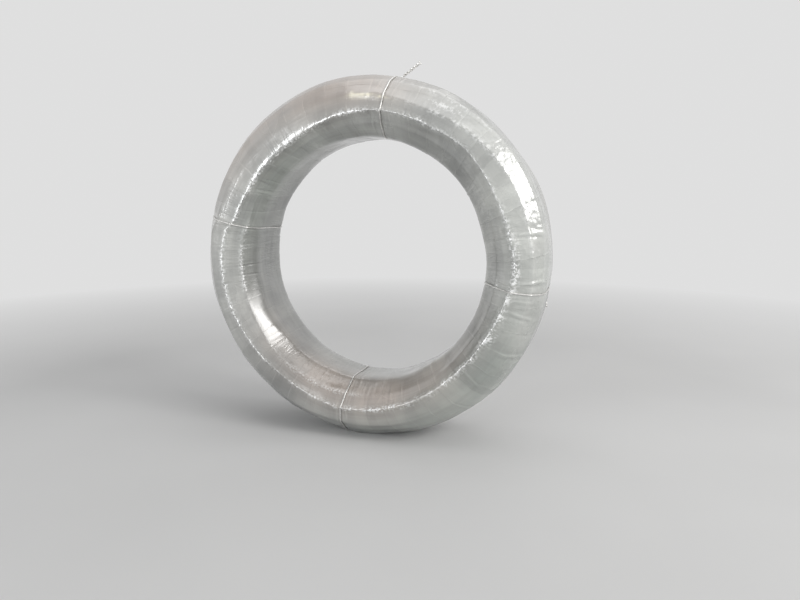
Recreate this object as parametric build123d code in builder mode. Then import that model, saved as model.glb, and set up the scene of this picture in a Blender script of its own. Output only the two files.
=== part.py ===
"""Coil of spring steel wire, wrapped in stretch film and held by four tie wires.

The coil stands on its rim. Its axis lies along Y, +Z is up and the origin is
the middle of the bore. Lengths are in millimetres and angles in degrees.
"""
from build123d import *
import os
from math import cos, pi, radians, sin

# Overall sizes over the wrap, the width over the crests before they are bevelled
outer_d = 900.0
bore_d = 600.0
width = 254.0

# Ridges of the bundle's section, from the bore round to the rim
bore_land = 116.0
crest_inset = 15.0
shoulder_depth = 41.0
shoulder_setback = 10.0
rim_land = 110.0
ridge_bevel = 5.0

# Wrap, and its clearance to the bundle of wire under it
wrap_thickness = 5.0
wrap_clearance = 0.3

# Tie wires, pulled into the wrap round the section
tie_d = 3.5
tie_proud = 1.0
tie_clearance = 0.1
tie_sides = 8

# Twisted ends that close each tie, drawn as short straight runs
twist_length = 52.0
twist_pitch = 18.0
twist_steps_per_turn = 8
neck_rise = 0.5
bend_radius = 6.0
bend_steps = 3
strand_gap = 0.1

# Clock angle of each tie from +X, the place of its twist between two corners
# of the section, and how far the twist leans over from upright
ties = {
    "top": {"angle": 80.0, "corner": 3, "lean": 46.0},
    "left": {"angle": 165.5, "corner": 2, "lean": 80.0},
    "bottom": {"angle": 263.0, "corner": 2, "lean": 80.0},
    "right": {"angle": 352.0, "corner": 2, "lean": 80.0},
}

bore_r = bore_d / 2
outer_r = outer_d / 2
half_width = width / 2
crest_r = (bore_r + outer_r) / 2 - crest_inset
tie_r = tie_d / 2
tie_depth = tie_r - tie_proud


def section_corners():
    """Corners of the ring's section as (radius, place along the axis)."""
    rear = [
        (bore_r, bore_land / 2),
        (crest_r, half_width),
        (outer_r - shoulder_depth, half_width - shoulder_setback),
        (outer_r, rim_land / 2),
    ]
    front = [(radius, -place) for radius, place in reversed(rear)]
    return rear + front


def ring_section(growth=0.0, bevelled=True):
    """Section of the ring, its x running out from the axis and its y along it."""
    with BuildSketch() as section:
        with BuildLine():
            Polyline(*section_corners(), close=True)
        make_face()
        if bevelled:
            rows = section.vertices().group_by(Axis.Y)
            crests = rows[0] + rows[-1]
            shoulders = rows[1] + rows[-2]
            chamfer(crests + shoulders, ridge_bevel)
        if growth:
            offset(amount=growth, kind=Kind.INTERSECTION)
    return section.sketch


def radial_plane(angle):
    """Plane through the axis, its x pointing out at a clock angle from +X."""
    outwards = (cos(radians(angle)), 0, sin(radians(angle)))
    across = (-sin(radians(angle)), 0, cos(radians(angle)))
    return Plane(origin=(0, 0, 0), x_dir=outwards, z_dir=across)


def twist_plane(angle, corner):
    """Plane of a twist's bend: x stands off the wrap and y runs round the ring."""
    across = radial_plane(angle)
    start, end = (across.from_local_coords(Vector(*c)) for c in section_corners()[corner:corner + 2])
    along = (end - start).normalized()
    off_wrap = across.z_dir.cross(along)
    return Plane(origin=(start + end) / 2, x_dir=off_wrap, z_dir=off_wrap.cross(-across.z_dir))


def strand_route(plane, lean, side):
    """Corners of one strand's middle: off the loop, over the bend and round its twin."""
    lean = radians(lean)
    strand_r = (tie_r + strand_gap / 2) / cos(pi / twist_steps_per_turn)
    corners = [Vector(-tie_depth, 0, side * strand_r), Vector(neck_rise, 0, side * strand_r)]
    for step in range(1, bend_steps + 1):
        turned = lean * step / bend_steps
        rise = neck_rise + bend_radius * sin(turned)
        corners.append(Vector(rise, bend_radius * (1 - cos(turned)), side * strand_r))
    twist_base = Vector(corners[-1].X, corners[-1].Y, 0)
    along = Vector(cos(lean), sin(lean), 0)
    across = Vector(-sin(lean), cos(lean), 0)
    steps = round(twist_length / twist_pitch * twist_steps_per_turn)
    for step in range(1, steps + 1):
        turned = 2 * pi * step / twist_steps_per_turn
        spoke = Vector(0, 0, 1) * cos(turned) + across * sin(turned)
        reach = along * (twist_length * step / steps)
        corners.append(twist_base + reach + spoke * (side * strand_r))
    return Wire.make_polygon([plane.from_local_coords(corner) for corner in corners], close=False)


def wire_bar(route):
    """Round tie wire, drawn with few sides, along a route of straight runs."""
    with BuildPart() as bar:
        with BuildSketch(Plane(origin=route @ 0, z_dir=route % 0)):
            RegularPolygon(tie_r, tie_sides)
        sweep(path=route, transition=Transition.RIGHT)
    return bar.part


def tie_wire(angle, corner, lean):
    """One tie: a loop round the section, closed by its two ends twisted together."""
    with BuildSketch(radial_plane(angle)) as loop:
        add(ring_section(growth=-tie_depth))
    plane = twist_plane(angle, corner)
    with BuildPart() as tie:
        add(wire_bar(loop.sketch.face().outer_wire()))
        for side in (1, -1):
            add(wire_bar(strand_route(plane, lean, side)))
    return tie


# Bundle of wire, its turns packed close
with BuildPart() as wire_coil:
    add(ring_section(growth=-wrap_thickness - wrap_clearance, bevelled=False))
    revolve(axis=Axis.Y)
wire_coil.part.label = "wire_coil"

# Wrap of stretch film, with a shallow groove pressed in by each tie
with BuildPart() as film_wrap:
    with BuildSketch():
        add(ring_section())
        add(ring_section(growth=-wrap_thickness, bevelled=False), mode=Mode.SUBTRACT)
    revolve(axis=Axis.Y)
    for tie in ties.values():
        with BuildSketch(radial_plane(tie["angle"])):
            add(ring_section(growth=tie_r))
            add(ring_section(growth=-tie_depth - tie_r - tie_clearance), mode=Mode.SUBTRACT)
        extrude(amount=tie_r + tie_clearance, both=True, mode=Mode.SUBTRACT)
film_wrap.part.label = "film_wrap"

pieces = [wire_coil, film_wrap]
for side, tie in ties.items():
    piece = tie_wire(**tie)
    piece.part.label = f"tie_wire_{side}"
    pieces.append(piece)

os.makedirs("parts", exist_ok=True)
for piece in pieces:
    export_step(piece.part, f"parts/{piece.part.label}.step")
    print(piece.part.label, "volume", round(piece.part.volume), "mm3")
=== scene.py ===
"""Coil of spring steel wire: its wrap of stretch film, its tie wires, their finishes and a studio.

The coil stands on its rim with its axis along Y. Its front looks towards -Y and +Z is up.
Lengths are in metres and angles in degrees, unless a name or a table says otherwise.
"""

import logging
from collections.abc import Iterable, Iterator
from dataclasses import dataclass, replace
from enum import Enum
from math import cos, pi, radians, sin

import bmesh
import bpy
import numpy as np
from mathutils import Matrix, Vector


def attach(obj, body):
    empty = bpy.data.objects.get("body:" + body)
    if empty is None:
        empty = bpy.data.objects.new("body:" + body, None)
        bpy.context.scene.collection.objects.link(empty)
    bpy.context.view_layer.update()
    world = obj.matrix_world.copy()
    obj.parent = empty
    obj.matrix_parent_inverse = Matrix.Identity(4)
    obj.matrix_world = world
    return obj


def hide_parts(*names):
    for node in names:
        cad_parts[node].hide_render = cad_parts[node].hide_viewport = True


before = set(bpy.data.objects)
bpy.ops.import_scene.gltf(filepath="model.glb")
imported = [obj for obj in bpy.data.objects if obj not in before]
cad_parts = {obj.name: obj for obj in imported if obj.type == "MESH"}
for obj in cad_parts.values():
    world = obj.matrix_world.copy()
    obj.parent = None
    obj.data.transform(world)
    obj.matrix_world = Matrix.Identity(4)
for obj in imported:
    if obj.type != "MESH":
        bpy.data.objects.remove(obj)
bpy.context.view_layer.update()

logging.basicConfig(level=logging.INFO, format="%(message)s")
log = logging.getLogger("wire_coil")

MM = 0.001
BOTTOM_ANGLE = 270.0
SEED = 5544

Pair = tuple[float, float]
Socket = bpy.types.NodeSocket


class Slot(Enum):
    """Material slots of the record, one for each finish of the pieces."""

    FILM = "stretch_film"
    TIE = "tie_steel"
    WIRE = "spring_wire"


class Patch(Enum):
    """Point attributes of the wrap that its finish reads."""

    LAY = "film_lay"
    LAY_FOURTH = "film_lay_fourth"
    WARM = "film_warm"
    GREEN = "film_green"
    SLACK = "film_slack"
    # White along ridges and streaks: partly real wear, partly painted highlight
    RIDGE = "film_ridge_wear_and_glint"
    # Painted sheen at the lamps' hot spots and bright flanks, partly real milk-white film
    MILK_WHITE_AND_SHEEN = "film_milk_white_and_sheen"
    SMOOTH = "film_smooth"
    # Read for painted shade in hollows and painted light on rises
    HOLLOW = "film_hollow"
    # Painted highlight: a cream streak where the film catches the light
    THICK = "film_painted_cream_highlight"


def smooth_step(values: np.ndarray, low: float, high: float) -> np.ndarray:
    """Rise of values from 0 at low to 1 at high, with a level start and end."""
    share = np.clip((values - low) / (high - low), 0.0, 1.0)
    return share * share * (3.0 - 2.0 * share)


def bell(off: np.ndarray) -> np.ndarray:
    """Soft fall on both sides from 1 where off is 0."""
    return np.exp(-(off**2))


def turn_between(first: np.ndarray, second: float) -> np.ndarray:
    """Signed angle in degrees from the second clock angle to the first, within half a turn."""
    return (first - second + 180.0) % 360.0 - 180.0


def share_between(first: np.ndarray, second: float | np.ndarray) -> np.ndarray:
    """Signed share of the section from the second place to the first, the short way round."""
    return (first - second + 0.5) % 1.0 - 0.5


def outward(outlines: np.ndarray) -> np.ndarray:
    """Unit vectors off closed outlines.

    Args:
        outlines: Points as (radius, place along the axis), in order round each outline.

    Returns:
        The vector at each point.
    """
    tangents = np.roll(outlines, -1, axis=-2) - np.roll(outlines, 1, axis=-2)
    tangents /= np.linalg.norm(tangents, axis=-1)[..., None]
    return np.stack([tangents[..., 1], -tangents[..., 0]], axis=-1)


def turned_out(flat: np.ndarray, around: np.ndarray) -> np.ndarray:
    """Points in space, from (radius, place along the axis) and clock angles in radians."""
    radius, depth = flat[..., 0], flat[..., 1]
    return np.stack([radius * np.cos(around), depth, radius * np.sin(around)], axis=-1)


def table(kind: type, *rows: tuple) -> tuple:
    """Things of one kind, each from its row of values."""
    return tuple(kind(*row) for row in rows)


@dataclass(frozen=True)
class RidgeSpot:
    """Place of a ridge at one clock angle.

    Attributes:
        angle: Clock angle from +X, counted towards +Z.
        radius: Radius of the ridge in millimetres.
        depth: Distance of the ridge from the ring's middle plane in millimetres.
        rounding: How far from the ridge its rounding starts, in millimetres.
        glint: How much the film is creased along it and painted white, from 0 to 1; the white is partly real
            wear and partly painted highlight.
    """

    angle: float
    radius: float
    depth: float
    rounding: float
    glint: float = 0.0


@dataclass(frozen=True)
class Ridge:
    """Ridge that runs round one side of the ring.

    Attributes:
        strokes: How many short strokes cross it.
        spots: Its spots in order of their angles.
    """

    strokes: int
    spots: tuple[RidgeSpot, ...]

    def _between(self, angles: np.ndarray, size: str) -> np.ndarray:
        """One size of the ridge at each clock angle."""
        known = [spot.angle for spot in self.spots]
        return np.interp(angles, known, [getattr(spot, size) for spot in self.spots], period=360.0)

    def at(self, angles: np.ndarray) -> np.ndarray:
        """Radius, depth and rounding in metres at each clock angle."""
        sizes = [self._between(angles, size) for size in ("radius", "depth", "rounding")]
        return np.stack(sizes, axis=1) * MM

    def glint(self, angles: np.ndarray) -> np.ndarray:
        """How much the ridge is creased and painted white as highlight at each clock angle."""
        return self._between(angles, "glint")


# Ridges from the bore out to the rim
RIDGES = (
    Ridge(240, table(
        RidgeSpot,
        (10, 336, 97, 14), (45, 338, 98, 14), (78, 331, 96, 14), (95, 325, 94, 14),
        (125, 316, 92, 12), (160, 318, 93, 12), (166.5, 321, 99, 6, 0.5), (170, 323, 103.5, 4.5, 0.7),
        (190, 324, 105, 4.5, 0.7), (200, 328, 106, 4.5, 0.2), (215, 331, 107, 4.5, 0.1),
        (232, 334, 105.5, 5, 0.3), (250, 335, 104, 5, 0.4), (262, 334, 103, 6, 0.4),
        (275, 333, 99, 12), (317, 328, 96, 14), (345, 333, 97, 14),
    )),
    Ridge(680, table(
        RidgeSpot,
        (2, 379, 124.2, 5, 1), (12, 374, 125.0, 4.5, 0.9), (26, 370, 125.6, 4.5, 0.5),
        (45, 373, 125.4, 4.5, 0.5), (58, 364, 126.0, 4.5, 0.7), (70, 361, 126.2, 5, 0.8),
        (80, 359, 126.0, 5, 0.7), (95, 350, 125.2, 6, 0.8), (107, 340, 123.6, 10, 1),
        (119, 333, 122.0, 18, 1), (134, 333, 122.0, 17, 1), (150, 337, 122.2, 9, 1),
        (164, 345, 122.5, 5, 0.8), (168, 364, 124.2, 5, 0.5), (178, 372, 124.0, 5.5, 0.7),
        (200, 373, 124.2, 5.5, 0.7), (216, 364, 125.2, 6, 0.4), (235, 358, 126.0, 6, 0.3),
        (252, 361, 126.2, 5, 0.5), (262, 368, 125.4, 5, 0.6), (268, 364, 126.0, 5, 0.7),
        (285, 360, 126.2, 5, 0.9), (302, 355, 125.6, 5, 0.9), (317, 352, 125.2, 5, 1),
        (330, 354, 125.4, 5, 1), (341, 363, 125.8, 5, 1), (350, 369, 125.4, 5, 1), (355, 379, 124.0, 5, 1),
    )),
    Ridge(180, table(
        RidgeSpot,
        (10, 418, 110.5, 5, 0.5), (28, 415, 112.5, 5, 0.5), (40, 410, 115, 5, 0.5),
        (50, 404, 117.5, 5, 0.45), (60, 396, 120.5, 5.5, 0.45), (68, 391, 121.5, 7, 0.35),
        (80, 396, 116, 12), (95, 397, 112, 16), (125, 396, 109, 18), (150, 397, 109, 16),
        (165, 402, 112, 12), (170, 412, 112, 8), (215, 410, 113, 10), (262, 408, 115, 12),
        (300, 408, 114, 16), (345, 414, 111, 14), (352, 422, 108, 8),
    )),
    Ridge(120, table(
        RidgeSpot,
        (10, 445, 84, 9, 0.2), (38, 445, 84, 8, 0.4), (50, 443, 84, 7, 0.45), (62, 435, 88, 8, 0.45),
        (79, 432, 86, 14), (125, 431, 83, 16), (165, 432, 85, 14), (215, 433, 83, 14),
        (263, 432, 85, 14), (310, 432, 85, 16), (350, 439, 81, 12),
    )),
)


@dataclass(frozen=True)
class TieSpec:
    """Where one tie goes round the ring and how its twisted ends lie.

    Attributes:
        angle: Clock angle of the tie from +X, counted towards +Z.
        corner: Corner of the plain section before the twist, counted from the rear of the bore.
        lean: Lean of the twist from upright, round the ring clockwise.
    """

    angle: float
    corner: int
    lean: float


TIES = {
    "top": TieSpec(angle=80.0, corner=3, lean=46.0),
    "left": TieSpec(angle=165.5, corner=2, lean=80.0),
    "bottom": TieSpec(angle=263.0, corner=2, lean=80.0),
    "right": TieSpec(angle=352.0, corner=2, lean=80.0),
}

# Corners of the plain section from the rear of the bore, as (radius, place along the axis)
PLAIN_CORNERS = ((0.300, 0.058), (0.360, 0.127), (0.409, 0.117), (0.450, 0.055), (0.450, -0.055))


@dataclass(frozen=True)
class Fold:
    """Sharp fold across the film, long and narrow, its sizes in millimetres.

    Attributes:
        angle: Clock angle of its middle.
        place: Its middle as a share of the way round the section.
        length: Length across the ring.
        width: Half width along the ring.
        height: Height, below zero for a fold that dents the film.
        slant: Run along the ring for each length across it.
    """

    angle: float
    place: float
    length: float
    width: float
    height: float
    slant: float


# Folds that stand out by themselves on the front, each placed by the corners of the section
NAMED_FOLDS = table(
    Fold,
    (146.3, 1.5, 74.0, 2.6, -2.4, 0.12), (147.5, 1.5, 74.0, 2.4, 1.2, 0.12),
    (11.0, 4.0, 60.0, 3.4, 1.7, -0.1), (10.0, 4.0, 60.0, 2.8, -1.4, -0.1),
    (183.0, 1.5, 110.0, 2.2, -1.3, 0.05), (187.5, 1.5, 90.0, 2.2, -1.1, -0.04),
    (308.0, 5.0, 90.0, 2.4, -0.9, 0.2), (318.0, 5.0, 80.0, 2.4, 0.9, 0.1),
    (355.6, 4.0, 80.0, 2.6, 1.6, 0.14), (354.4, 4.0, 70.0, 2.4, -1.1, 0.14),
    (344.6, 4.0, 70.0, 2.6, 1.4, -0.1), (343.5, 4.0, 60.0, 2.4, -1.0, -0.1),
    (331.4, 5.0, 80.0, 2.8, 1.6, 0.12), (330.1, 5.0, 70.0, 2.6, -1.2, 0.12),
)


@dataclass(frozen=True)
class Streak:
    """Raised streak of film that runs round the ring and catches the light.

    Attributes:
        angle: Clock angle of its middle.
        reach: How far it reaches each way round the ring, in degrees.
        corner: Its place between the corners of the section, counted from the rear of the bore.
        width: Half width across the streak in millimetres.
        height: Height in millimetres.
        drift: Change of its place for each degree round the ring, in corners.
        glint: How white it is painted, partly real wear and partly painted highlight, from 0 to 1.
    """

    angle: float
    reach: float
    corner: float
    width: float
    height: float
    drift: float = 0.0
    glint: float = 0.0


STREAKS = table(
    Streak,
    (87.0, 6.5, 3.84, 4.5, 1.4, 0.004, 0.2), (60.0, 6.5, 4.45, 4.0, 1.4, -0.010, 0.6),
    (56.0, 17.0, 3.45, 6.0, 1.0, 0.006, 0.1), (30.0, 16.0, 3.50, 7.0, 1.1, -0.004),
    (40.0, 22.0, 4.55, 5.0, 0.9, 0.006, 0.15), (110.0, 20.0, 3.50, 9.0, 0.9, 0.005),
    (205.0, 22.0, 3.55, 8.0, 0.9, 0.004), (240.0, 16.0, 4.40, 7.0, 0.8),
    (300.0, 20.0, 3.50, 8.0, 0.9, -0.005), (335.0, 12.0, 4.30, 7.0, 0.9, 0.006),
    (358.0, 13.0, 3.12, 8.0, 1.2, 0.002, 0.9), (338.0, 8.0, 3.10, 7.5, 1.2, -0.004, 0.9),
)


@dataclass(frozen=True)
class Spot:
    """Soft spot on the film.

    Attributes:
        angle: Clock angle of its middle.
        place: Its middle as a share of the way round the section.
        spread: How far it spreads each way round the ring, in degrees.
        girth: How far it spreads each way round the section, as a share of it.
        strength: Strength in its middle, held to 1 where it is more.
    """

    angle: float
    place: float
    spread: float
    girth: float
    strength: float


# Where the film is tinted, where it has painted sheen and a painted cream highlight, and where it is
# stretched smooth
SPOTS = {
    Patch.WARM: table(
        Spot,
        (272.0, 0.26, 52.0, 0.12, 1.0), (232.0, 0.16, 26.0, 0.10, 0.35), (122.0, 0.50, 40.0, 0.11, 1.0),
        (92.0, 0.42, 18.0, 0.07, 0.7), (205.0, 0.75, 30.0, 0.12, 0.50), (20.0, 0.80, 36.0, 0.14, 0.60),
        (310.0, 0.93, 30.0, 0.10, 0.45),
    ),
    # Painted sheen: paler patches at the lamps' hot spots and on the bright flanks, partly real milk-white
    # film
    Patch.MILK_WHITE_AND_SHEEN: table(
        Spot,
        (27.0, 0.46, 30.0, 0.11, 0.9), (338.0, 0.47, 34.0, 0.11, 0.7), (5.0, 0.46, 24.0, 0.10, 0.6),
        (200.0, 0.30, 26.0, 0.06, 0.3), (60.0, 0.80, 60.0, 0.16, 0.5), (250.0, 0.78, 50.0, 0.14, 0.5),
    ),
    Patch.GREEN: table(
        Spot,
        (325.0, 0.46, 44.0, 0.13, 0.75), (140.0, 0.22, 34.0, 0.10, 0.45),
        (15.0, 0.50, 30.0, 0.10, 0.50), (160.0, 0.85, 50.0, 0.14, 0.50),
    ),
    # Painted cream highlight near the top of the front flank
    Patch.THICK: table(Spot, (86.5, 0.398, 5.2, 0.0062, 3.0), (92.0, 0.402, 1.3, 0.010, 1.6)),
    Patch.SMOOTH: table(
        Spot,
        (209.0, 0.25, 21.0, 0.075, 1.15), (40.0, 0.40, 26.0, 0.04, 0.6), (330.0, 0.47, 30.0, 0.07, 0.6),
        (120.0, 0.47, 30.0, 0.08, 0.5), (60.0, 0.28, 30.0, 0.06, 0.6), (295.0, 0.26, 26.0, 0.05, 0.5),
    ),
}


@dataclass
class RingSurface:
    """Outer surface of the wrap as a grid: steps round the ring by stations round its section.

    The section has twelve corners: the rear and front edge of the bore, the front's four ridges,
    the front and rear edge of the rim, and the rear's four ridges. An edge is given as its radius,
    its place along the axis and its rounding, and most pairs are the least and the most of a size
    that is drawn at random. Swells, gathers, strokes, folds and creases have their lengths, widths
    and heights in millimetres and their reach round the ring in degrees.

    Attributes:
        eased_edge: The front edge of the bore where the film is drawn out over a hump of wire.
        eased_angle: Clock angle of the hump's middle.
        eased_reach: How far the hump reaches each way, in degrees.
        stations_per_run: Stations between each two corners.
        crowding: How far the stations crowd towards the corners, from 0 to 1.
        laps: Turns of the film round the ring's section.
        gather_heights: Spread of the gathers' heights where the film is taut, and what slack adds.
        creases_by_ties: Share of the long creases that run from a tie.
        footing: Height of film at the bottom that the floor presses flat.
        skin_inset: How far the film's mean level lies inside the rounded section.
        bore_play: How far the film may reach into the solid's bore.
        rim_play: How far the film stays inside the solid's rim.
        slack_span: Radii between which the film turns from slack to taut.
        swell_waves: Least and most waves of a swell round the ring, and then round the section.
        bulge: Where the hump of wire raises the slope beside the bore.
        calm_laps: Share of the steps between laps that is left where the film is stretched smooth.
        cluster_scatter: Spread of a cluster round the ring, and across it as a share of the section.
        taut_gathers: How often gathers start in taut film, where the slackest has 1 more.
        middle_calm: Share by which gathers are rarer near the ring's middle plane.
        middle_reach: How far from that plane they are rarer.
        slack_creases: How often long creases lie in slack film, where the tautest has 1 more.
        tie_crease_shift: How far a crease's middle lies from its tie, for each degree of its reach.
        wear_glint_reach: How far the white of wear and painted highlight reaches from a ridge whose glint is
            low.
        full_hollow: Depth at which a hollow counts in full.
    """

    bore_r: float = 0.300
    outer_r: float = 0.450
    half_width: float = 0.127
    mean_r: float = 0.375
    bore_edge: tuple[float, float, float] = (0.3008, 0.058, 0.014)
    eased_edge: tuple[float, float, float] = (0.3008, 0.065, 0.018)
    eased_angle: float = 208.0
    eased_reach: float = 26.0
    rim_edge: tuple[float, float, float] = (0.4490, 0.055, 0.016)
    turns: int = 1200
    stations_per_run: tuple[int, ...] = (6, 6, 9, 9, 6, 5, 6, 5, 6, 9, 9, 6)
    crowding: float = 0.85
    ridge_easing: tuple[int, ...] = (3, 3, 2, 2, 1)
    skin_inset: float = 0.8 * MM
    bore_play: float = 0.4 * MM
    rim_play: float = 0.1 * MM
    slack_span: Pair = (0.345, 0.435)

    swells: int = 26
    swell_waves: tuple[tuple[int, int], ...] = ((2, 16), (0, 6))
    swell_height: Pair = (0.08, 0.30)
    bore_sag: float = 0.6 * MM
    slope_sag: float = 1.3 * MM
    bulge: Spot = Spot(208.0, 0.25, 13.0, 0.2, 1.0)
    bulge_height: float = 1.8 * MM
    laps: int = 44
    lap_height: float = 0.35 * MM
    lap_steps: Pair = (0.3, 1.9)
    lap_edge: float = 0.05
    calm_laps: float = 0.3

    clusters: int = 190
    cluster_size: tuple[int, int] = (2, 6)
    taut_gathers: float = 0.10
    middle_calm: float = 0.55
    middle_reach: float = 0.03
    cluster_scatter: Pair = (2.6, 0.02)
    cluster_lean: float = 0.12
    gather_length: Pair = (16.0, 60.0)
    gather_width: Pair = (2.3, 4.2)
    gather_heights: Pair = (0.16, 0.38)
    gather_slant: float = 0.10
    stroke_scatter: float = 0.006
    stroke_length: Pair = (5.0, 17.0)
    stroke_width: Pair = (1.3, 4.2)
    stroke_height: float = 0.68
    stroke_slant: float = 0.35

    long_creases: int = 260
    creases_by_ties: float = 0.6
    slack_creases: float = 0.05
    crease_scatter: float = 9.0
    crease_reach: Pair = (4.0, 16.0)
    crease_height: float = 0.45
    crease_drift: float = 0.0012
    crease_width: Pair = (5.0, 10.0)
    folds_per_tie: int = 26
    tie_fold_off: Pair = (1.0, 3.6)
    tie_fold_length: Pair = (22.0, 80.0)
    tie_fold_width: Pair = (1.4, 2.6)
    tie_fold_height: Pair = (0.25, 1.0)
    creases_per_tie: int = 34
    tie_crease_reach: Pair = (2.0, 6.5)
    tie_crease_shift: float = 0.6
    tie_crease_drift: float = 0.002
    tie_crease_height: float = 0.7
    tie_crease_width: float = 5.0

    pinch_depth: float = 1.3 * MM
    pinch_width: float = 6.0 * MM
    pull_depth: float = 0.7 * MM
    pull_width: float = 26.0 * MM
    footing: float = 3.4 * MM
    footing_spread: float = 9.0
    footing_fall: Pair = (0.050, 0.080)
    rim_start: float = 0.43
    wear_glint_reach: float = 3.9 * MM
    full_hollow: float = 0.6 * MM

    def __post_init__(self) -> None:
        """Lay out the grid: the section at each step round the ring, then its relief."""
        self.draw = np.random.default_rng(SEED)
        self.angles = np.arange(self.turns) * 360.0 / self.turns
        self.rear_angles = self._rear_angles()
        self.stations = self._stations()
        self.sections = self._sections()
        self.radii, self.depths = self.sections.mean(axis=0).T
        first = self.sections[0]
        lengths = np.linalg.norm(np.roll(first, -1, axis=0) - first, axis=1)
        self.girth = float(lengths.sum())
        self.shares = np.concatenate([[0.0], np.cumsum(lengths)[:-1]]) / self.girth
        self.corners = [self.shares[self._station(corner)] for corner in range(12)] + [1.0]
        self.heights = self._relief()

    def _rear_angles(self) -> np.ndarray:
        """Clock angles that the rear takes its ridges from.

        Returns:
            Angle for each step, one stretch between ties further on than the step itself.
        """
        ties = sorted(spec.angle for spec in TIES.values())
        known = np.array([*ties, ties[0] + 360.0])
        shifted = np.append(known[1:], ties[1] + 360.0)
        return np.interp((self.angles - ties[0]) % 360.0 + ties[0], known, shifted) % 360.0

    def _stations(self) -> list[tuple[int, float]]:
        """Places round the section, closer together at the corners.

        Returns:
            Each place as the run it is on and its share of the way along that run.
        """
        stations = []
        for run, count in enumerate(self.stations_per_run):
            for step in range(count):
                even = step / count
                crowded = (1.0 - cos(pi * even)) / 2.0
                stations.append((run, even + self.crowding * (crowded - even)))
        return stations

    def _station(self, corner: int) -> int:
        """Station at a corner of the section."""
        return sum(self.stations_per_run[:corner])

    def _ridge_lines(self) -> Iterator[tuple[Ridge, int, np.ndarray]]:
        """Each ridge on the front and on the rear.

        Yields:
            The ridge, its corner of the section and the clock angles that it is read at.
        """
        for number, ridge in enumerate(RIDGES):
            yield ridge, 2 + number, self.angles
            yield ridge, 11 - number, self.rear_angles

    def _sections(self) -> np.ndarray:
        """Rounded section at each step round the ring.

        Returns:
            Points as (radius, place along the axis), by step and station.
        """
        to_front = np.array([1.0, -1.0, 1.0])
        eased = bell(turn_between(self.angles, self.eased_angle) / self.eased_reach)[:, None]
        corners = np.zeros((self.turns, 12, 3))
        corners[:, 0] = self.bore_edge
        corners[:, 1] = (self.bore_edge + eased * np.subtract(self.eased_edge, self.bore_edge)) * to_front
        corners[:, 6] = self.rim_edge * to_front
        corners[:, 7] = self.rim_edge
        for ridge, corner, angles in self._ridge_lines():
            sizes = ridge.at(angles)
            for shift in self.ridge_easing:
                sizes = (np.roll(sizes, shift, axis=0) + 2.0 * sizes + np.roll(sizes, -shift, axis=0)) / 4.0
            corners[:, corner] = sizes * to_front if corner < 6 else sizes
        return self._rounded(corners[..., :2], corners[..., 2])

    def _rounded(self, corners: np.ndarray, roundings: np.ndarray) -> np.ndarray:
        """Points at the stations of closed outlines whose corners are rounded.

        Args:
            corners: Corners of each outline, by step round the ring.
            roundings: How far from each corner its rounding starts.

        Returns:
            The points, by step round the ring and by station.
        """
        runs = np.roll(corners, -1, axis=1) - corners
        lengths = np.linalg.norm(runs, axis=2)
        along = runs / lengths[..., None]
        points = np.empty((len(corners), len(self.stations), 2))
        for station, (run, share) in enumerate(self.stations):
            nearer = run if share < 0.5 else (run + 1) % corners.shape[1]
            side = 1.0 if share < 0.5 else -1.0
            reach = (min(share, 1.0 - share) * lengths[:, run])[:, None]
            rounding = roundings[:, nearer][:, None]
            straight = corners[:, nearer] + side * along[:, run] * reach
            arriving = corners[:, nearer] - rounding * along[:, nearer - 1]
            leaving = corners[:, nearer] + rounding * along[:, nearer]
            way = np.clip(0.5 + side * 0.5 * reach / rounding, 0.0, 1.0)
            curve = (1.0 - way) ** 2 * arriving + way**2 * leaving
            curve += 2.0 * way * (1.0 - way) * corners[:, nearer]
            points[:, station] = np.where(reach < rounding, curve, straight)
        return points

    def _relief(self) -> np.ndarray:
        """Height of the film over the rounded section.

        Returns:
            The heights, by step and station.
        """
        wrinkled = 1.0 - self.spots(SPOTS[Patch.SMOOTH])
        heights = self._level() - self.skin_inset
        heights += self._unevenness()
        heights += self._lap_steps() * (self.calm_laps + (1.0 - self.calm_laps) * wrinkled)
        heights += self._dented(self._gathers()) * wrinkled
        heights += self._dented(self._strokes())
        heights += self._long_creases() * wrinkled
        heights += self._dented(replace(fold, place=self._place(fold.place)) for fold in NAMED_FOLDS)
        for spec in TIES.values():
            heights += self._dented(self._folds_beside(spec.angle))
            heights += self._creases_from(spec.angle)
        heights += sum(streak.height * MM * self._streak(streak) for streak in STREAKS)
        return heights + self._pinches() + self._footing()

    def _level(self) -> np.ndarray:
        """Heights of nothing, by step and station."""
        return np.zeros((self.turns, len(self.stations)))

    def _place(self, corner: float | np.ndarray) -> float | np.ndarray:
        """Share of the way round the section of a place given in corners."""
        return np.interp(corner, np.arange(len(self.corners)), self.corners)

    def _slackness(self) -> np.ndarray:
        """How slack the film is at each station: 1 in the bore and 0 on the rim."""
        return 1.0 - smooth_step(self.radii, *self.slack_span)

    def spots(self, spots: Iterable[Spot]) -> np.ndarray:
        """Soft spots added together.

        Args:
            spots: The spots.

        Returns:
            Their strength from 0 to 1, by step and station.
        """
        total = self._level()
        for spot in spots:
            off = turn_between(self.angles, spot.angle)[:, None] / spot.spread
            across = share_between(self.shares, spot.place) / spot.girth
            total += spot.strength * np.exp(-(off**2) - across**2)
        return np.clip(total, 0.0, 1.0)

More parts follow.
